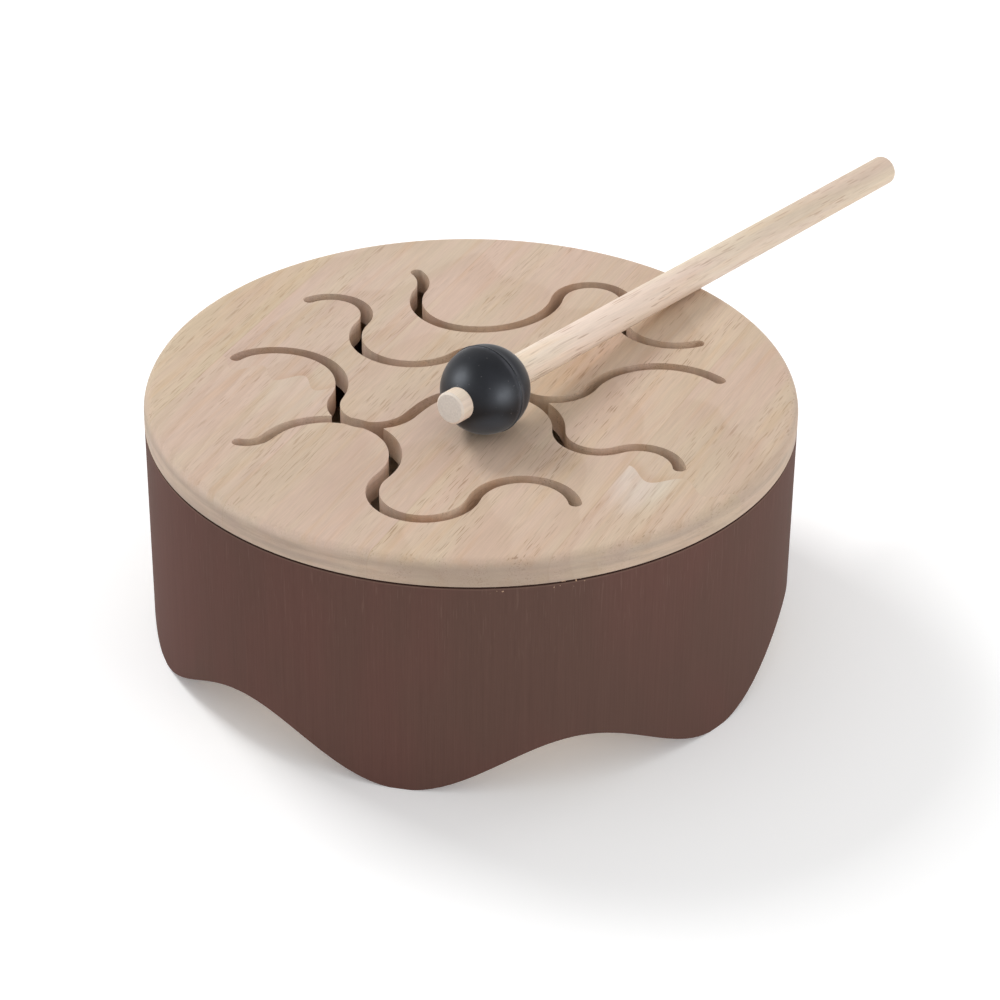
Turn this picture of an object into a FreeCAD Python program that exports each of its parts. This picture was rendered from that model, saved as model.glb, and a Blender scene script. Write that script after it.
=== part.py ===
"""A round wooden tongue drum with a rubber-headed mallet, modelled piece by piece.

Frame: millimetres, +Z up. The origin is on the drum's axis, in the plane that its feet stand on.
-Y is the side that the player faces. Each piece is written to parts/NODE.step.
"""

import FreeCAD, Part
import math
import os

# ---- Driving dimensions -------------------------------------------------------------------------

# Drum
drum_radius = 80.0
drum_height = 64.2
board_thickness = 6.5
board_edge_round = 3.0
board_lower_chamfer = 0.3       # this and the shell's chamfer leave a fine groove at the glue line
shell_wall = 6.0
shell_top_chamfer = 0.5
glue_ring_width = 8.0
glue_ring_height = 12.0
base_thickness = 5.0
base_clearance = 15.0           # from the table to the base board, above the arches

# Wavy foot edge: six feet with arches between them
foot_count = 6
foot_wave_height = 7.0          # half the height from a foot's tip to the top of an arch
foot_flat_depth = 0.15          # sanded off each foot's tip, so that it stands flat
first_foot_azimuth = -11.0      # degrees from -Y towards +X

# Staves of the board, counted across the grain
grain_turn = -25.0              # degrees from +Y to the grain, about +Z
stave_seams = [-62.0, -27.5, 12.0, 49.5]    # places of the glued seams, across the grain
finger_length = 5.0
finger_joints = {2: (-16.5, 3.0), 5: (-20.0, 2.5)}  # stave: the joint's place, and its fingers

# Slots between the tongues. Each one is (x, y, heading) at its start, then (radius, turn) for each
# arc. A positive turn is to the left.
slot_width = 3.2
slot_paths = {
    "back": [(-15.0, 58.5, -55), (10.5, -56), (15.0, 100), (20.5, 91), (9.0, -194), (13.5, 139)],
    "middle": [(-42.0, 43.0, 35), (9.5, -151), (14.5, 166), (8.0, -160), (10.5, 175), (19.0, -115)],
    "cross": [(-58.5, 12.5, 51), (10.0, -34), (17.0, -127), (10.0, 170), (80.0, -4), (18.0, -149),
              (9.5, 122), (9.5, -117)],
    "front": [(-55.0, -28.0, -19), (5.5, 80), (16.5, -185), (12.0, 199), (12.0, -156)],
}

# Mallet
stick_radius = 4.0
stick_length = 200.0
stick_tip = 14.0                # from the head's centre to the stick's near end
stick_chamfer = 0.5
head_radius = 10.8
seam_height = 0.2               # the moulding seam's height above the head
seam_tube = 0.4
head_x = 3.5
head_y = -21.0
stick_azimuth = 53.7            # degrees from +X towards +Y, seen from above
rest_gap = 0.1                  # between the mallet and the board that it lies on

# ---- Derived dimensions -------------------------------------------------------------------------

shell_height = drum_height - board_thickness
shell_inner_radius = drum_radius - shell_wall
head_z = drum_height + head_radius + seam_height + rest_gap


# ---- Shared helpers -----------------------------------------------------------------------------

def vec(x, y, z=0.0):
    return FreeCAD.Vector(x, y, z)


def save(node, shape):
    """Write one piece, and say how large it is."""
    if not shape.isValid():
        raise RuntimeError(node + " is not valid")
    shape.exportStep("parts/" + node + ".step")
    print("%-24s %d solid(s) %10.1f mm3" % (node, len(shape.Solids), shape.Volume))


def single(shape):
    """The shape as one solid if it has only one, and otherwise as a compound of its solids."""
    solids = shape.Solids
    return solids[0] if len(solids) == 1 else Part.makeCompound(solids)


def rim_edges(shape, height):
    """The full circles of the drum's radius at a height."""
    def on_rim(edge):
        box = edge.BoundBox
        return box.ZLength < 0.01 and abs(box.ZMin - height) < 0.01 and box.XMax > drum_radius - 0.01
    return [edge for edge in shape.Edges if on_rim(edge)]


# ---- Slots --------------------------------------------------------------------------------------

def arc_piece(x, y, heading, radius, turn, half_width):
    """One arc of a slot as a flat ring sector, with the place and heading at its end."""
    side = math.copysign(1.0, turn)
    start = math.radians(heading)
    centre = vec(x - side * radius * math.sin(start), y + side * radius * math.cos(start))

    def at(ring, part):
        angle = start + math.radians(turn) * part
        return centre + vec(side * ring * math.sin(angle), -side * ring * math.cos(angle))

    outer = radius + half_width
    inner = radius - half_width
    edges = [
        Part.Arc(at(outer, 0.0), at(outer, 0.5), at(outer, 1.0)).toShape(),
        Part.LineSegment(at(outer, 1.0), at(inner, 1.0)).toShape(),
        Part.Arc(at(inner, 1.0), at(inner, 0.5), at(inner, 0.0)).toShape(),
        Part.LineSegment(at(inner, 0.0), at(outer, 0.0)).toShape(),
    ]
    end = at(radius, 1.0)
    return Part.Face(Part.Wire(edges)), end.x, end.y, heading + turn


def slot_cutter(path):
    """The space of one slot, with the round ends that a router bit leaves."""
    half_width = slot_width / 2
    depth = board_thickness + 2.0
    base = vec(0, 0, shell_height - 1.0)
    x, y, heading = path[0]
    pieces = [Part.makeCylinder(half_width, depth, base + vec(x, y))]
    for radius, turn in path[1:]:
        face, x, y, heading = arc_piece(x, y, heading, radius, turn, half_width)
        face.translate(base)
        pieces.append(face.extrude(vec(0, 0, depth)))
        pieces.append(Part.makeCylinder(half_width, depth, base + vec(x, y)))
    return pieces[0].multiFuse(pieces[1:])


# ---- Board --------------------------------------------------------------------------------------

def slotted_board():
    """The whole board: a disc with a rounded top edge and the slots cut through."""
    disc = Part.makeCylinder(drum_radius, board_thickness, vec(0, 0, shell_height))
    board = disc.makeFillet(board_edge_round, rim_edges(disc, drum_height))
    board = board.makeChamfer(board_lower_chamfer, rim_edges(board, shell_height))
    for path in slot_paths.values():
        board = board.cut(slot_cutter(path))
    return board


def finger_line(left, right, place, count):
    """A wavy line of glued fingers across a stave, as an edge from its left seam to its right seam."""
    half_pitch = (right - left) / count / 2
    points = []
    for index in range(round(2 * count) + 1):
        reach = -finger_length / 2 if index % 2 else finger_length / 2
        points.append(vec(left + index * half_pitch, place + reach))
    curve = Part.BSplineCurve()
    curve.interpolate(points)
    return curve.toShape()


def stave_prism(end, corners):
    """A stave's blank, turned to the grain's direction. end is its edge, from left to right, where it
    meets its neighbour, and corners are its two outer corners, on the right and on the left."""
    start = end.Vertexes[0].Point
    sides = Part.makePolygon([end.Vertexes[-1].Point] + corners + [start]).Edges
    blank = Part.Face(Part.Wire([end] + sides)).extrude(vec(0, 0, 2 * board_thickness))
    blank.translate(vec(0, 0, shell_height - board_thickness / 2))
    blank.rotate(vec(0, 0), vec(0, 0, 1), grain_turn)
    return blank


def make_staves():
    """The board's staves, as glued side by side, and end to end where they are finger-jointed."""
    board = slotted_board()
    reach = drum_radius + 5.0
    edges = [-reach] + stave_seams + [reach]
    staves = {}
    for number in range(1, len(edges)):
        left = edges[number - 1]
        right = edges[number]
        back = [vec(right, reach), vec(left, reach)]
        front = [vec(right, -reach), vec(left, -reach)]
        name = "board_stave_%d" % number
        if number in finger_joints:
            joint = finger_line(left, right, *finger_joints[number])
            staves[name + "_back"] = stave_prism(joint, back)
            staves[name + "_front"] = stave_prism(joint, front)
        else:
            front_end = Part.makeLine(front[1], front[0])
            staves[name] = stave_prism(front_end, back)
    return {name: single(board.common(blank)) for name, blank in staves.items()}


# ---- Shell, glue ring and base board ------------------------------------------------------------

def foot_edge_height(azimuth):
    """Height of the wavy lower edge at an azimuth in degrees, before the feet are sanded flat."""
    wave = math.cos(math.radians(foot_count * (azimuth - first_foot_azimuth)))
    return foot_wave_height - foot_flat_depth - foot_wave_height * wave


def foot_space():
    """What is cut away under the shell: a lofted skirt whose upper face follows the wave."""
    samples = 12 * foot_count
    low = -10.0

    def ring_curve(radius):
        points = []
        for index in range(samples):
            azimuth = first_foot_azimuth + 360.0 * index / samples
            angle = math.radians(azimuth)
            height = foot_edge_height(azimuth)
            points.append(vec(radius * math.sin(angle), -radius * math.cos(angle), height))
        curve = Part.BSplineCurve()
        curve.interpolate(points, PeriodicFlag=True)
        return curve.toShape()

    inner_radius = shell_inner_radius - 4.0
    outer_radius = drum_radius + 4.0
    inner_top = ring_curve(inner_radius)
    outer_top = ring_curve(outer_radius)
    top = Part.makeRuledSurface(outer_top, inner_top)
    return top.extrude(vec(0, 0, low - 2 * foot_wave_height))


def make_shell():
    """The bent shell, with its arches cut and its feet sanded flat."""
    blank = Part.makeCylinder(drum_radius, shell_height)
    blank = blank.makeChamfer(shell_top_chamfer, rim_edges(blank, shell_height))
    tube = blank.cut(Part.makeCylinder(shell_inner_radius, shell_height))
    return single(tube.cut(foot_space()))


def make_glue_ring():
    """The hoop inside the shell's top, which gives the board something wide to be glued to."""
    base = vec(0, 0, shell_height - glue_ring_height)
    ring = Part.makeCylinder(shell_inner_radius, glue_ring_height, base)
    return ring.cut(Part.makeCylinder(shell_inner_radius - glue_ring_width, glue_ring_height, base))


def make_base():
    """The round board glued into the shell above the arches, which closes the chamber below."""
    return Part.makeCylinder(shell_inner_radius, base_thickness, vec(0, 0, base_clearance))


# ---- Mallet -------------------------------------------------------------------------------------

def stick_direction():
    """The stick lies on the head at one end and on the start of the board's rounded edge."""
    azimuth = math.radians(stick_azimuth)
    level = vec(math.cos(azimuth), math.sin(azimuth))
    head = vec(head_x, head_y)
    flat_radius = drum_radius - board_edge_round
    along = head.dot(level)
    run = -along + math.sqrt(along ** 2 - head.dot(head) + flat_radius ** 2)
    drop = head_z - (drum_height + stick_radius + rest_gap)
    direction = level * run - vec(0, 0, drop)
    return direction.normalize()


def make_stick(centre, direction):
    stick = Part.makeCylinder(stick_radius, stick_length, centre - direction * stick_tip, direction)
    end_edges = [edge for edge in stick.Edges if len(edge.Vertexes) == 1]
    return stick.makeChamfer(stick_chamfer, end_edges)


def make_head(centre, direction):
    """A rubber ball with a raised moulding seam about its middle, bored through for the stick."""
    ball = Part.makeSphere(head_radius, centre)
    seam = Part.makeTorus(head_radius + seam_height - seam_tube, seam_tube, centre, direction)
    bore = Part.makeCylinder(stick_radius, 4 * head_radius, centre - direction * 2 * head_radius, direction)
    return single(ball.fuse(seam).cut(bore))


# ---- Write every piece --------------------------------------------------------------------------

def main():
    os.makedirs("parts", exist_ok=True)
    for node, stave in make_staves().items():
        save(node, stave)
    save("drum_shell", make_shell())
    save("glue_ring", make_glue_ring())
    save("base_board", make_base())
    centre = vec(head_x, head_y, head_z)
    direction = stick_direction()
    save("mallet_stick", make_stick(centre, direction))
    save("mallet_head", make_head(centre, direction))


main()
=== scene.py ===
"""The looks of the wooden tongue drum and its mallet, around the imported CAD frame.

Metres, +Z up. The player faces the drum from -Y. Every CAD node keeps its mesh and its place and gets a
procedural material. A floor, soft lamps and a camera stand around them.
"""

import math

import bpy
import numpy as np
from mathutils import Matrix, Vector


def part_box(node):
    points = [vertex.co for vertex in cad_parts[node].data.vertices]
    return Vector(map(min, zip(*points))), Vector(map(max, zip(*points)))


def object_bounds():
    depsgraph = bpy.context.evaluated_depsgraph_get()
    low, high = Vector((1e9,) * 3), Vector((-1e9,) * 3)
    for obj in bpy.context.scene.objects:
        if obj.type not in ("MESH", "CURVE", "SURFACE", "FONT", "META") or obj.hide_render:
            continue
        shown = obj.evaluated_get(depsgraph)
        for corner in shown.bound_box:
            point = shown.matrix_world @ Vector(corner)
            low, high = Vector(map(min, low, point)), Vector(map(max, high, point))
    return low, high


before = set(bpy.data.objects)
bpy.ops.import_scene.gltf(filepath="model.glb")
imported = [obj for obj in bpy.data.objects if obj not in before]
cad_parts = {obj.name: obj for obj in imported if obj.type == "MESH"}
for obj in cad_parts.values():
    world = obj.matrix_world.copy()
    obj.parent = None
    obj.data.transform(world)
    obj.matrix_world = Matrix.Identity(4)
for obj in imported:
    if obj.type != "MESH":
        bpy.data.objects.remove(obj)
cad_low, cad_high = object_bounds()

MM = 0.001

# ---- Places read from the frame -----------------------------------------------------------------

shell_low, shell_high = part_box("drum_shell")
_, stave_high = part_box("board_stave_3")
head_low, head_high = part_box("mallet_head")
drum_radius = (shell_high.x - shell_low.x) / 2
shell_top = shell_high.z
board_top = stave_high.z
head_centre = (head_low + head_high) / 2

# ---- Driving values: board, camera and light ----------------------------------------------------

GRAIN_TURN = math.radians(25.0)         # brings the board's grain onto Y
SEAMS = [-62.0 * MM, -27.5 * MM, 12.0 * MM, 49.5 * MM]      # between the staves, across the grain
OUTER_SEAM = 85.0 * MM                  # past the rim, for the outer staves' other side
SEAM_CORE = 0.05 * MM                   # a glue line is full this far from its middle
SEAM_EDGE = 0.25 * MM                   # and gone at this distance
FINGER_REACH = 2.5 * MM                 # half a glued finger's length
FRONT_JUMP = (0.37, 0.21, 0.0)          # how far off in the log the wood in front of a joint was cut

CAMERA_PLACE = Vector((0.0073, -0.6857, 0.3953))    # from the centre of the board's top
CAMERA_PITCH = math.radians(31.99)      # below the horizon
CAMERA_ROLL = math.radians(0.62)
CAMERA_LENS = 116.3                     # mm, on a sensor of the usual 36 mm
CAMERA_NEAR = 0.01

FLOOR_SIZE = 8.0
FLOOR_GAP = 0.05 * MM                   # keeps the floor's face off the feet's
FLOOR_GLOW = 0.17
WORLD_STRENGTH = 0.65

# Each lamp stands on the side of the mallet's head that towards points to. Power is in watts. A catch
# light shows only as gloss, and the others only light what is matt.
SOFTBOXES = {
    "key": dict(towards=(-0.54, 0.51, 0.67), distance=1.10, width=0.36, height=0.36, power=6.2),
    "right_back": dict(towards=(0.80, 0.58, 0.25), distance=1.20, width=0.40, height=0.50, power=2.2),
    "right_front": dict(towards=(0.76, -0.58, 0.28), distance=1.20, width=0.50, height=0.50, power=2.3),
    "left_catch": dict(towards=(-0.872, -0.068, 0.487), distance=0.60, width=0.36, height=0.30, power=3.4,
                       catch=True),
    "right_catch": dict(towards=(0.739, -0.666, 0.130), distance=0.60, width=0.36, height=0.26, power=3.4,
                        catch=True),
}


# ---- Colours ------------------------------------------------------------------------------------

def rgb(red, green, blue):
    """An sRGB colour, 0 to 255, as the linear RGBA that shaders take."""
    def linear(value):
        value = value / 255
        return value / 12.92 if value <= 0.04045 else ((value + 0.055) / 1.055) ** 2.4
    return (linear(red), linear(green), linear(blue), 1.0)


WHITE = (1.0, 1.0, 1.0, 1.0)
FLOOR_WHITE = (0.96, 0.96, 0.96, 1.0)

BOARD_PORE = rgb(150, 118, 92)
BOARD_PALE = rgb(222, 214, 206)
BARE_WOOD = rgb(216, 192, 164)
BARE_PORE = rgb(160, 124, 94)

STAIN_RED = rgb(99, 70, 63)
STAIN_BROWN = rgb(94, 70, 62)
STAIN_RAISED = rgb(150, 124, 110)
# painted highlight on the shell's lip, and painted shade in the crease above it
STAIN_LIP_HIGHLIGHT = rgb(150, 122, 108)
STAIN_GROOVE_SHADE = rgb(56, 38, 33)
SANDING_DUST = rgb(205, 170, 140)

# painted light on the stick by the head, painted shade towards its far end
DOWEL_PAINTED_LIGHT_BY_HEAD = rgb(238, 221, 205)
DOWEL_PAINTED_SHADE_FAR = rgb(213, 194, 176)
DOWEL_PORE = rgb(158, 122, 96)
DOWEL_VESSEL = rgb(166, 126, 98)
DOWEL_END = rgb(230, 222, 213)

RUBBER_DARK = rgb(15, 14, 18)
RUBBER_LIGHT = rgb(25, 24, 30)
RUBBER_SPECK = rgb(110, 106, 108)
RUBBER_BLOOM = rgb(84, 84, 90)
RUBBER_SEAM = rgb(6, 6, 7)
# painted reflection on the head's lower front
RUBBER_PAINTED_REFLECTION = rgb(70, 77, 86)
RUBBER_GLOSS = (0.84, 0.91, 1.0, 1.0)

# These multiply the wood's own colour
PINK = (1.015, 0.975, 0.985, 1.0)
YELLOW = (1.0, 1.015, 0.965, 1.0)
TAN = (0.985, 0.945, 0.895, 1.0)
LATE_WOOD = (0.90, 0.865, 0.83, 1.0)
BROWNED_END = (0.94, 0.88, 0.83, 1.0)
GLUE_LINE = (0.93, 0.90, 0.87, 1.0)
# the slots' walls: painted light, lighter than the face, and browner where scorched
SAWN_CLEAN_PAINTED_LIGHT = (1.19, 1.22, 1.26, 1.0)
SAWN_SCORCHED_PAINTED_LIGHT = (1.06, 1.01, 0.96, 1.0)
# painted shade on the board's upright rim, patchy
RIM_SHADE_DARK = (0.74, 0.74, 0.75, 1.0)
RIM_SHADE_LIGHT = (0.92, 0.905, 0.89, 1.0)
RIM_SHADE_GREY = (0.66, 0.65, 0.65, 1.0)


# ---- A short way to write node trees ------------------------------------------------------------

class Shader:
    """One material's node tree around a Principled surface."""

    def __init__(self, name, **surface):
        self.material = bpy.data.materials.new(name)
        self.material.use_nodes = True
        self.tree = self.material.node_tree
        self.surface = self.tree.nodes["Principled BSDF"]
        for socket, value in surface.items():
            self.surface.inputs[socket.replace("_", " ")].default_value = value
        self.place = self.tree.nodes.new("ShaderNodeTexCoord").outputs["Object"]
        self.normal = self.tree.nodes.new("ShaderNodeNewGeometry").outputs["Normal"]

    def node(self, kind, inputs, output=0, **settings):
        made = self.tree.nodes.new("ShaderNode" + kind)
        for name, value in settings.items():
            setattr(made, name, value)
        for socket, value in inputs.items():
            target = made.inputs[socket]
            if isinstance(value, bpy.types.NodeSocket):
                self.tree.links.new(value, target)
            else:
                target.default_value = value
        return made.outputs[output]

    def link(self, value, socket):
        self.tree.links.new(value, self.surface.inputs[socket])

    # numbers
    def math(self, operation, first, second=0.0, third=0.0):
        return self.node("Math", {0: first, 1: second, 2: third}, operation=operation)

    def times(self, first, second):
        return self.math("MULTIPLY", first, second)

    def apart(self, first, second):
        return self.math("ABSOLUTE", self.math("SUBTRACT", first, second))

    def spread(self, value, low, high, to_low, to_high, shape="SMOOTHSTEP"):
        """value, spread from low..high onto to_low..to_high and held inside it."""
        sockets = {0: value, 1: low, 2: high, 3: to_low, 4: to_high}
        return self.node("MapRange", sockets, interpolation_type=shape)

    def rise(self, value, low, high, top=1.0):
        """0 below low, top above high."""
        return self.spread(value, low, high, 0.0, top)

    def fall(self, value, low, high, top=1.0):
        """top below low, 0 above high."""
        return self.spread(value, low, high, top, 0.0)

    # vectors
    def split(self, vector):
        """The three parts of a vector."""
        made = self.tree.nodes.new("ShaderNodeSeparateXYZ")
        self.tree.links.new(vector, made.inputs[0])
        return made.outputs[0], made.outputs[1], made.outputs[2]

    def join(self, x, y, z):
        return self.node("CombineXYZ", {0: x, 1: y, 2: z})

    def vector(self, operation, first, second):
        return self.node("VectorMath", {0: first, 1: second}, operation=operation)

    def scaled(self, vector, factor):
        return self.node("VectorMath", {0: vector, 3: factor}, operation="SCALE")

    def dot(self, vector, fixed):
        return self.node("VectorMath", {0: vector, 1: fixed}, 1, operation="DOT_PRODUCT")

    def length(self, vector):
        return self.node("VectorMath", {0: vector}, 1, operation="LENGTH")

    def mapped(self, vector, scale=(1, 1, 1), turn=(0, 0, 0), shift=(0, 0, 0)):
        return self.node("Mapping", {0: vector, 1: shift, 2: turn, 3: scale})

    # where a point of the surface is, and which way it faces
    def off_axis(self):
        """How far the point is from the drum's axis."""
        x, y, _ = self.split(self.place)
        return self.length(self.join(x, y, 0.0))

    def flatness(self):
        """1 on a level face, 0 on an upright one."""
        return self.math("ABSOLUTE", self.dot(self.normal, (0, 0, 1)))

    # noise and colours
    def noise(self, vector, cells, detail=2.0, roughness=0.5):
        """Noise with about this many cells to the metre along each axis."""
        scaled = self.mapped(vector, cells)
        sockets = {"Vector": scaled, "Scale": 1.0, "Detail": detail, "Roughness": roughness}
        return self.node("TexNoise", sockets)

    def mix(self, factor, first, second, blend="MIX"):
        """Two colours mixed."""
        sockets = {0: factor, 6: first, 7: second}
        return self.node("Mix", sockets, 2, data_type="RGBA", blend_type=blend)

    def tint(self, colour, multiplier, factor=1.0):
        """A colour times another one."""
        return self.mix(factor, colour, multiplier, "MULTIPLY")

    def shade(self, colour, factor, dark, light):
        """A colour times a grey that goes from dark to light as factor goes from 0 to 1."""
        return self.scaled(colour, self.spread(factor, 0.0, 1.0, dark, light, "LINEAR"))

    def finish(self, colour, relief, strength, distance):
        """The finished material, with its colour and its bump."""
        sockets = {"Height": relief, "Strength": strength, "Distance": distance}
        self.link(colour, "Base Color")
        self.link(self.node("Bump", sockets), "Normal")
        return self.material


# ---- Wood ---------------------------------------------------------------------------------------

# Noise cells to the metre: across the grain, along it and through it
SWAY_CELLS = (22, 7, 22)
DRIFT_CELLS = (130, 16, 130)
TAN_CELLS = (380, 24, 380)
STREAK_CELLS = (620, 26, 620)
FIBRE_CELLS = (3400, 130, 3400)
PORE_CELLS = (3500, 170, 3500)
PORE_CROWD_CELLS = (130, 22, 130)

RING_SWAY = 16 * MM                     # how far the rings wander
RING_DARKENS = 0.30                     # where in a ring it starts to darken, as a share of its width
RING_DARKEST = 0.93


def growth_rings(shader, grain, heart, gap, lean):
    """0 in the early wood to 1 in the late wood. heart is (across, below), and lean tilts the log."""
    across, along, height = shader.split(grain)
    sway = shader.noise(grain, SWAY_CELLS)
    aside = shader.math("SUBTRACT", across, heart[0])
    below = shader.math("SUBTRACT", height, heart[1])
    radius = shader.length(shader.join(aside, 0.0, below))
    radius = shader.math("MULTIPLY_ADD", sway, RING_SWAY, radius)
    radius = shader.math("MULTIPLY_ADD", along, lean, radius)
    ring = shader.math("FRACT", shader.math("DIVIDE", radius, gap))
    darkening = shader.rise(ring, RING_DARKENS, RING_DARKEST)
    return shader.times(darkening, shader.fall(ring, RING_DARKEST, 1.0))


def wood(shader, grain, base, pore, heart, ring_gap=4.5 * MM, lean=0.12, ring_share=0.5, pore_share=0.38):
    """Planed wood in the round, as its colour and the height for its bump. Y runs along the grain."""
    # pink, yellow and tan drifts
    drift = shader.rise(shader.noise(grain, DRIFT_CELLS, 3.0), 0.33, 0.67)
    colour = shader.tint(base, shader.mix(drift, PINK, YELLOW))
    tan = shader.rise(shader.noise(grain, TAN_CELLS), 0.50, 0.72)
    colour = shader.tint(colour, TAN, tan)

    # growth rings, streaks and fibres
    late = growth_rings(shader, grain, heart, ring_gap, lean)
    colour = shader.tint(colour, LATE_WOOD, shader.times(late, ring_share))
    streak = shader.noise(grain, STREAK_CELLS, 3.0, 0.6)
    colour = shader.shade(colour, streak, 0.93, 1.08)
    fibre = shader.noise(grain, FIBRE_CELLS, 2.0, 0.6)
    colour = shader.shade(colour, fibre, 0.86, 1.14)

    # open pores: fine short dashes along the grain, in drifts
    dash = shader.rise(shader.noise(grain, PORE_CELLS, 0.0), 0.63, 0.74)
    crowd = shader.rise(shader.noise(grain, PORE_CROWD_CELLS), 0.40, 0.60)
    open_pore = shader.times(dash, crowd)
    colour = shader.mix(shader.times(open_pore, pore_share), colour, pore)

    # fibres stand up and pores go down
    relief = shader.math("MULTIPLY_ADD", fibre, 0.4, shader.times(open_pore, -1.0))
    return colour, relief


# ---- Board --------------------------------------------------------------------------------------

# Noise cells to the metre along X, Y and Z
SCORCH_CELLS = (70, 70, 12)
SAW_MARK_CELLS = (900, 900, 60)
RIM_SHADE_PATCH_CELLS = (40, 40, 520)

JOINT_SOFTNESS = 0.05 * MM              # half the width of the change at a finger joint
PATCH_REACH = 20 * MM                   # how far in front of the joint its pale patch starts
PATCH_FULL = 5 * MM                     # and from where it is palest
PATCH_SOFTNESS = 3 * MM                 # half the width of the fade at the patch's sides
BROWNED_FULL = 0.2 * MM                 # end grain behind the joint: brownest up to here
BROWNED_REACH = 5.0 * MM                # and brown up to here

RIM_FIGURE_LOST = 0.55                  # the share of its figure that the rim loses
# the rim's painted shade is greyest at this X and fades out from there
RIM_SHADE_MIDDLE = 4 * MM                # the X at which the rim is greyest
RIM_SHADE_NEAR = 8 * MM                  # from there it fades
RIM_SHADE_FAR = 32 * MM                  # until here


def behind_fingers(shader, across, along, left, right, joint):
    """How far behind the line of glued fingers a point is, in metres; in front of it is below 0."""
    pitch = (right - left) / joint["fingers"]
    turn = shader.math("MULTIPLY_ADD", across, 2 * math.pi / pitch, -2 * math.pi * left / pitch)
    line = shader.math("MULTIPLY_ADD", shader.math("COSINE", turn), FINGER_REACH, joint["place"])
    return shader.math("SUBTRACT", along, line)


def sawn_walls_painted_light(shader, colour):
    """colour with the slots' sawn walls painted lighter than the face, as painted light in the slots, and
    scorched here and there.
    """
    scorch = shader.rise(shader.noise(shader.place, SCORCH_CELLS), 0.42, 0.66)
    sawn = shader.mix(scorch, SAWN_CLEAN_PAINTED_LIGHT, SAWN_SCORCHED_PAINTED_LIGHT)
    sawn = shader.shade(sawn, shader.noise(shader.place, SAW_MARK_CELLS), 0.88, 1.10)
    upright = shader.fall(shader.flatness(), 0.30, 0.60)
    inside = shader.fall(shader.off_axis(), drum_radius - 1.6 * MM, drum_radius - 1.2 * MM)
    # painted light on the slot walls
    return shader.tint(colour, sawn, shader.times(upright, inside))


def rim_painted_shade(shader, colour, base):
    """colour with the board's rim plainer, and painted darker and greyer as painted shade on its upright
    edge, patchy, most of all in the middle of its front and back.
    """
    upright = shader.fall(shader.flatness(), 0.25, 0.95)
    outside = shader.rise(shader.off_axis(), drum_radius - 4 * MM, drum_radius - 2 * MM)
    on_rim = shader.times(upright, outside)
    colour = shader.mix(shader.times(on_rim, RIM_FIGURE_LOST), colour, base)
    # painted shade on the upright rim: patchy, and greyest in the middle of its front and back
    shade_patches = shader.rise(shader.noise(shader.place, RIM_SHADE_PATCH_CELLS, 3.0, 0.6), 0.35, 0.65)
    rim_shade = shader.mix(shade_patches, RIM_SHADE_DARK, RIM_SHADE_LIGHT)
    x, _, _ = shader.split(shader.place)
    in_middle = shader.fall(shader.apart(x, RIM_SHADE_MIDDLE), RIM_SHADE_NEAR, RIM_SHADE_FAR, 0.8)
    rim_shade = shader.mix(in_middle, rim_shade, RIM_SHADE_GREY)
    return shader.tint(colour, rim_shade, on_rim)


def board_wood(name, left, right, base, shift, heart, joint=None, **figure):
    """One stave of the board, between two seams. In front of a finger joint lies another length of wood,
    with a figure and a colour of its own and a pale patch beside the joint."""
    shader = Shader(name, Roughness=0.60, Specular_IOR_Level=0.20)
    grain = shader.mapped(shader.place, turn=(0, 0, GRAIN_TURN))
    across, along, _ = shader.split(grain)
    figured = shader.mapped(grain, shift=shift)

    if joint:
        behind = behind_fingers(shader, across, along, left, right, joint)
        before = shader.fall(behind, -JOINT_SOFTNESS, JOINT_SOFTNESS)
        figured = shader.vector("ADD", figured, shader.scaled(FRONT_JUMP, before))
        base = shader.mix(before, base, joint["front"])
        patch_left, patch_right = joint["patch_sides"]
        from_left = shader.rise(across, patch_left - PATCH_SOFTNESS, patch_left + PATCH_SOFTNESS)
        from_right = shader.fall(across, patch_right - PATCH_SOFTNESS, patch_right + PATCH_SOFTNESS)
        between_sides = shader.times(from_left, from_right)
        patch = shader.rise(behind, -PATCH_REACH, -PATCH_FULL, joint["patch"])
        patch = shader.times(shader.times(patch, between_sides), before)
        base = shader.mix(patch, base, BOARD_PALE)
    colour, relief = wood(shader, figured, base, BOARD_PORE, heart, **figure)

    # brown end grain just behind the fingers
    if joint:
        after = shader.math("SUBTRACT", 1.0, before)
        browned = shader.times(shader.fall(behind, BROWNED_FULL, BROWNED_REACH, 0.85), after)
        colour = shader.tint(colour, BROWNED_END, shader.times(browned, between_sides))

    # the glue lines to the next staves
    to_seam = shader.math("MINIMUM", shader.apart(across, left), shader.apart(across, right))
    colour = shader.tint(colour, GLUE_LINE, shader.fall(to_seam, SEAM_CORE, SEAM_EDGE))

    colour = sawn_walls_painted_light(shader, colour)
    colour = rim_painted_shade(shader, colour, base)
    return shader.finish(colour, relief, 0.30, 0.05 * MM)


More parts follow.
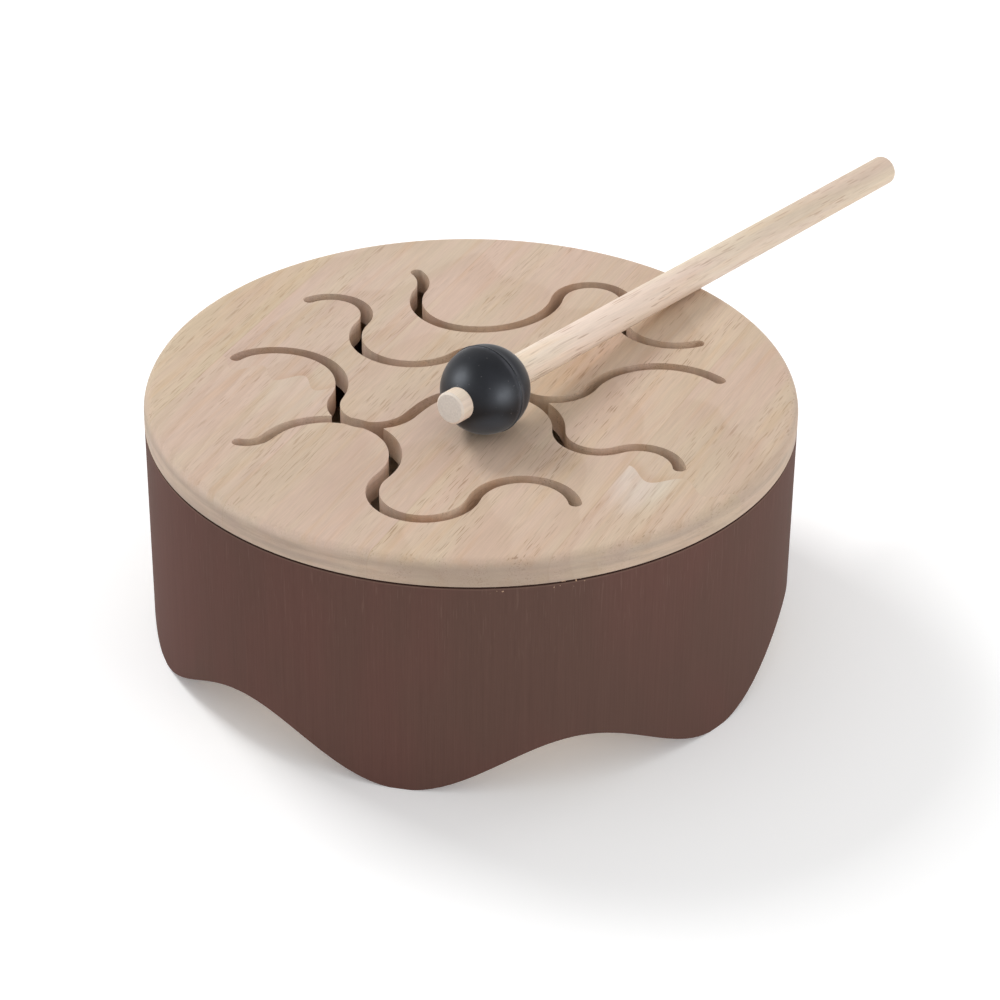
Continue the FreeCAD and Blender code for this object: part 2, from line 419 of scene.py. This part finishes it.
# left and right are the stave's seams, and shift is where in the log it was cut
BOARD_LOOKS = {
    1: dict(left=-OUTER_SEAM, right=SEAMS[0], base=rgb(203, 182, 161), shift=(0.31, 0.12, 0.00),
            heart=(0.230, -0.050), ring_gap=7.0 * MM, lean=0.05),
    2: dict(left=SEAMS[0], right=SEAMS[1], base=rgb(201, 180, 163), shift=(0.11, 0.42, 0.05),
            heart=(0.100, -0.035), ring_gap=5.0 * MM,
            joint=dict(place=-16.5 * MM, fingers=3.0, front=rgb(202, 181, 163), patch=0.12,
                       patch_sides=(-44 * MM, -25 * MM))),
    3: dict(left=SEAMS[1], right=SEAMS[2], base=rgb(203, 181, 163), shift=(0.83, 0.05, 0.07),
            heart=(0.830, -0.060), ring_gap=6.0 * MM),
    4: dict(left=SEAMS[2], right=SEAMS[3], base=rgb(205, 183, 163), shift=(0.42, 0.71, 0.03),
            heart=(0.415, -0.050), ring_gap=5.0 * MM, pore_share=0.60),
    5: dict(left=SEAMS[3], right=OUTER_SEAM, base=rgb(203, 181, 162), shift=(0.15, 0.33, 0.04),
            heart=(0.215, -0.040), ring_gap=4.5 * MM, lean=0.08,
            joint=dict(place=-20.0 * MM, fingers=2.5, front=rgb(205, 183, 163), patch=0.46,
                       patch_sides=(45 * MM, 62 * MM))),
}
STAVE_PIECES = {
    1: ["board_stave_1"],
    2: ["board_stave_2_back", "board_stave_2_front"],
    3: ["board_stave_3"],
    4: ["board_stave_4"],
    5: ["board_stave_5_back", "board_stave_5_front"],
}


# ---- Shell, glue ring and base board ------------------------------------------------------------

# Noise cells to the metre along X, Y and Z
STAIN_DRIFT_CELLS = (38, 38, 16)
STAIN_STREAK_CELLS = (700, 700, 10)
STAIN_FIBRE_CELLS = (3200, 3200, 60)
TICK_CELLS = (3000, 3000, 190)
DUST_CELLS = (1600, 1600, 1600)

PLY = 1.0 * MM

# Depths below the shell's top, where a zone starts and from where it is full
# the painted highlight on the lip and the painted shade in the crease under the board
LIP_HIGHLIGHT_START = 0.75 * MM
LIP_HIGHLIGHT_FULL = 0.50 * MM
GROOVE_SHADE_START = 0.42 * MM
GROOVE_SHADE_FULL = 0.30 * MM
DUST_START = 2.0 * MM
DUST_FULL = 0.8 * MM


def stained_shell():
    """A bent plywood wall, stained dark brown inside and out."""
    shader = Shader("shell_stain", Roughness=0.75, Specular_IOR_Level=0.08)
    x, y, z = shader.split(shader.place)

    # stain taken up unevenly by upright grain
    drift = shader.rise(shader.noise(shader.place, STAIN_DRIFT_CELLS), 0.35, 0.65)
    colour = shader.mix(drift, STAIN_RED, STAIN_BROWN)
    streak = shader.noise(shader.place, STAIN_STREAK_CELLS, 3.0, 0.6)
    colour = shader.shade(colour, streak, 0.94, 1.06)
    fibre = shader.noise(shader.place, STAIN_FIBRE_CELLS, 2.0, 0.6)
    colour = shader.shade(colour, fibre, 0.90, 1.10)

    # pale ticks where the grain is raised, more of them near the top
    tick = shader.rise(shader.noise(shader.place, TICK_CELLS, 0.0), 0.66, 0.80)
    tick = shader.times(tick, shader.rise(z, 25 * MM, 55 * MM))
    colour = shader.mix(shader.times(tick, 0.09), colour, STAIN_RAISED)

    # the plies on the sawn lower edge, dark and light in turn
    ply = shader.math("PINGPONG", shader.off_axis(), PLY)
    ply = shader.spread(ply, 0.35 * PLY, 0.65 * PLY, 0.72, 1.18)
    facing_down = shader.rise(shader.dot(shader.normal, (0, 0, -1)), 0.25, 0.55)
    colour = shader.tint(colour, shader.join(ply, ply, ply), facing_down)

    # a painted highlight makes the lip below the board paler, and above it painted shade makes a dark
    # line in the crease under the board
    lip_highlight = shader.rise(z, shell_top - LIP_HIGHLIGHT_START, shell_top - LIP_HIGHLIGHT_FULL)
    colour = shader.mix(shader.times(lip_highlight, 0.22), colour, STAIN_LIP_HIGHLIGHT)
    groove_shade = shader.rise(z, shell_top - GROOVE_SHADE_START, shell_top - GROOVE_SHADE_FULL)
    colour = shader.mix(groove_shade, colour, STAIN_GROOVE_SHADE)

    # a little sanding dust caught under the lip, in front and to the right
    speck = shader.rise(shader.noise(shader.place, DUST_CELLS, 0.0), 0.76, 0.79)
    near_lip = shader.rise(z, shell_top - DUST_START, shell_top - DUST_FULL)
    in_front = shader.fall(y, -76 * MM, -74 * MM)
    on_right = shader.rise(x, 4 * MM, 10 * MM)
    dusty = shader.times(near_lip, shader.times(in_front, on_right))
    colour = shader.mix(shader.times(speck, dusty), colour, SANDING_DUST)

    return shader.finish(colour, shader.math("ADD", streak, fibre), 0.25, 0.08 * MM)


def ring_wood():
    """The bare wooden hoop inside the shell: its grain runs round it."""
    shader = Shader("ring_wood", Roughness=0.65, Specular_IOR_Level=0.30)
    x, y, z = shader.split(shader.place)
    around = shader.times(shader.math("ARCTAN2", x, y), drum_radius)
    grain = shader.join(shader.off_axis(), around, z)
    colour, relief = wood(shader, grain, BARE_WOOD, BARE_PORE, heart=(0.0, -0.02))
    return shader.finish(colour, relief, 0.35, 0.10 * MM)


def base_wood():
    """The bare board that closes the chamber below: plain sawn wood, its grain running along X."""
    shader = Shader("base_wood", Roughness=0.65, Specular_IOR_Level=0.30)
    grain = shader.mapped(shader.place, turn=(0, 0, math.radians(90)), shift=(0.2, 0.6, 0.1))
    colour, relief = wood(shader, grain, BARE_WOOD, BARE_PORE, heart=(0.22, 0.06))
    return shader.finish(colour, relief, 0.35, 0.10 * MM)


# ---- Mallet -------------------------------------------------------------------------------------

# Noise cells to the metre: across the dowel, along it and through it
VESSEL_CELLS = (2600, 120, 2600)
VESSEL_CROWD_CELLS = (160, 14, 160)
# and along X, Y and Z
END_GRAIN_CELLS = (1900, 1900, 1900)
CLOUD_CELLS = (130, 130, 130)
RUBBER_SPECK_CELLS = (1700, 1700, 1700)
RUBBER_GRIT_CELLS = (2600, 2600, 2600)

# painted light and shade along the stick
DOWEL_PAINTED_FADE_END = 0.14                   # where along the stick it has its far end's colour
# the side on which the head's painted reflection lies
REFLECTION_SIDE = (0.15, -0.78, -0.60)      # the head's side towards the player and the board


def long_axis(node):
    """The direction in which a node is longest, pointing away from the player."""
    points = np.array([vertex.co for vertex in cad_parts[node].data.vertices])
    axis = Vector(np.linalg.svd(points - points.mean(0))[2][0])
    return axis if axis.y > 0 else -axis


def dowel_wood(axis):
    """The mallet's dowel: painted light by the head and painted shade further along, dark pores drawn out
    along it, and rough sawn end grain.
    """
    shader = Shader("dowel_wood", Roughness=0.58, Specular_IOR_Level=0.32)
    side = axis.cross(Vector((0, 0, 1))).normalized()
    up = side.cross(axis)
    along = shader.dot(shader.place, axis)
    grain = shader.join(shader.dot(shader.place, side), along, shader.dot(shader.place, up))
    # painted light and shade along the stick: lighter by the head, darker further along
    base = shader.mix(shader.rise(along, 0.0, DOWEL_PAINTED_FADE_END), DOWEL_PAINTED_LIGHT_BY_HEAD, DOWEL_PAINTED_SHADE_FAR)
    colour, relief = wood(shader, grain, base, DOWEL_PORE, heart=(0.020, 0.0), ring_gap=2.2 * MM,
                          lean=0.01, ring_share=0.25, pore_share=0.3)

    # long dark vessels
    vessel = shader.rise(shader.noise(grain, VESSEL_CELLS, 0.0), 0.66, 0.73)
    vessel = shader.times(vessel, shader.rise(shader.noise(grain, VESSEL_CROWD_CELLS), 0.44, 0.60))
    colour = shader.mix(shader.times(vessel, 0.50), colour, DOWEL_VESSEL)

    # end grain
    on_end = shader.math("ABSOLUTE", shader.dot(shader.normal, axis))
    rough = shader.noise(shader.place, END_GRAIN_CELLS, 2.0, 0.6)
    sawn = shader.shade(DOWEL_END[:3], rough, 0.82, 1.16)
    colour = shader.mix(shader.rise(on_end, 0.55, 0.85), colour, sawn)
    return shader.finish(colour, relief, 0.30, 0.08 * MM)


def head_rubber(axis):
    """Moulded black rubber with a satin skin, fine specks, a paler bloom beside its seam and a painted
    reflection on its side towards the player and the board.
    """
    shader = Shader("head_rubber", Specular_IOR_Level=0.38, Specular_Tint=RUBBER_GLOSS, Sheen_Weight=0.30,
                    Sheen_Roughness=0.30)
    cloud = shader.noise(shader.place, CLOUD_CELLS, 3.0, 0.6)
    colour = shader.mix(shader.rise(cloud, 0.35, 0.70), RUBBER_DARK, RUBBER_LIGHT)
    speck = shader.rise(shader.noise(shader.place, RUBBER_SPECK_CELLS, 0.0), 0.80, 0.83)
    colour = shader.mix(shader.times(speck, 0.35), colour, RUBBER_SPECK)

    # the moulding seam round the head, across the stick, with bloom beside it
    from_centre = shader.vector("SUBTRACT", shader.place, head_centre)
    off_seam = shader.math("ABSOLUTE", shader.dot(from_centre, axis))
    beside = shader.fall(off_seam, 0.36 * MM, 1.6 * MM)
    bloom = shader.times(beside, shader.spread(cloud, 0.35, 0.60, 0.10, 0.55))
    colour = shader.mix(bloom, colour, RUBBER_BLOOM)
    colour = shader.mix(shader.fall(off_seam, 0.16 * MM, 0.36 * MM), colour, RUBBER_SEAM)

    # painted reflection: paler on the side towards the player and the board
    painted_reflection = shader.rise(shader.dot(shader.normal, REFLECTION_SIDE), 0.78, 0.98, 0.8)
    colour = shader.mix(painted_reflection, colour, RUBBER_PAINTED_REFLECTION)

    shader.link(shader.spread(cloud, 0.3, 0.7, 0.42, 0.52), "Roughness")
    return shader.finish(colour, shader.noise(shader.place, RUBBER_GRIT_CELLS), 0.12, 0.05 * MM)


# ---- Putting the finishes on --------------------------------------------------------------------

def finish_node(name, material):
    """Gives a CAD node one material."""
    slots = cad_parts[name].material_slots
    slots[0].link = "OBJECT"
    slots[0].material = material


for number, look in BOARD_LOOKS.items():
    stave_wood = board_wood("stave_%d_wood" % number, **look)
    for piece in STAVE_PIECES[number]:
        finish_node(piece, stave_wood)
stick_axis = long_axis("mallet_stick")
finish_node("drum_shell", stained_shell())
finish_node("glue_ring", ring_wood())
finish_node("base_board", base_wood())
finish_node("mallet_stick", dowel_wood(stick_axis))
finish_node("mallet_head", head_rubber(stick_axis))


# ---- Floor, light and camera --------------------------------------------------------------------

def make_floor():
    half = FLOOR_SIZE / 2
    corners = [(-half, -half, 0), (half, -half, 0), (half, half, 0), (-half, half, 0)]
    mesh = bpy.data.meshes.new("floor")
    mesh.from_pydata(corners, [], [(0, 1, 2, 3)])
    floor = bpy.data.objects.new("floor", mesh)
    floor.location.z = cad_low.z - FLOOR_GAP
    bpy.context.scene.collection.objects.link(floor)
    shader = Shader("floor_paint", Base_Color=FLOOR_WHITE, Roughness=0.9, Specular_IOR_Level=0.0,
                    Emission_Color=WHITE, Emission_Strength=FLOOR_GLOW)
    mesh.materials.append(shader.material)


def make_world():
    world = bpy.data.worlds.new("studio")
    world.use_nodes = True
    background = world.node_tree.nodes["Background"]
    background.inputs["Color"].default_value = WHITE
    background.inputs["Strength"].default_value = WORLD_STRENGTH
    bpy.context.scene.world = world


def make_camera():
    forward = Vector((0, math.cos(CAMERA_PITCH), -math.sin(CAMERA_PITCH)))
    level = Vector((1, 0, 0))
    upright = Vector((0, math.sin(CAMERA_PITCH), math.cos(CAMERA_PITCH)))
    right = math.cos(CAMERA_ROLL) * level + math.sin(CAMERA_ROLL) * upright
    up = math.cos(CAMERA_ROLL) * upright - math.sin(CAMERA_ROLL) * level
    turn = Matrix((right, up, -forward)).transposed().to_4x4()
    lens = bpy.data.cameras.new("camera")
    lens.lens = CAMERA_LENS
    lens.clip_start = CAMERA_NEAR
    camera = bpy.data.objects.new("camera", lens)
    camera.matrix_world = Matrix.Translation(CAMERA_PLACE + Vector((0, 0, board_top))) @ turn
    bpy.context.scene.collection.objects.link(camera)
    bpy.context.scene.camera = camera


def softbox(name, towards, distance, width, height, power, catch=False):
    """A rectangular lamp, aimed at the mallet's head."""
    lamp = bpy.data.lights.new(name, "AREA")
    lamp.shape = "RECTANGLE"
    lamp.size = width
    lamp.size_y = height
    lamp.energy = power
    holder = bpy.data.objects.new(name, lamp)
    away = Vector(towards).normalized()
    holder.location = head_centre + away * distance
    holder.rotation_mode = "QUATERNION"
    holder.rotation_quaternion = away.to_track_quat("Z", "Y")
    holder.visible_glossy = catch
    holder.visible_diffuse = not catch
    bpy.context.scene.collection.objects.link(holder)


make_floor()
make_world()
make_camera()
for lamp_name, lamp_values in SOFTBOXES.items():
    softbox(lamp_name, **lamp_values)

view = bpy.context.scene.view_settings
view.view_transform = "Standard"
view.look = "None"
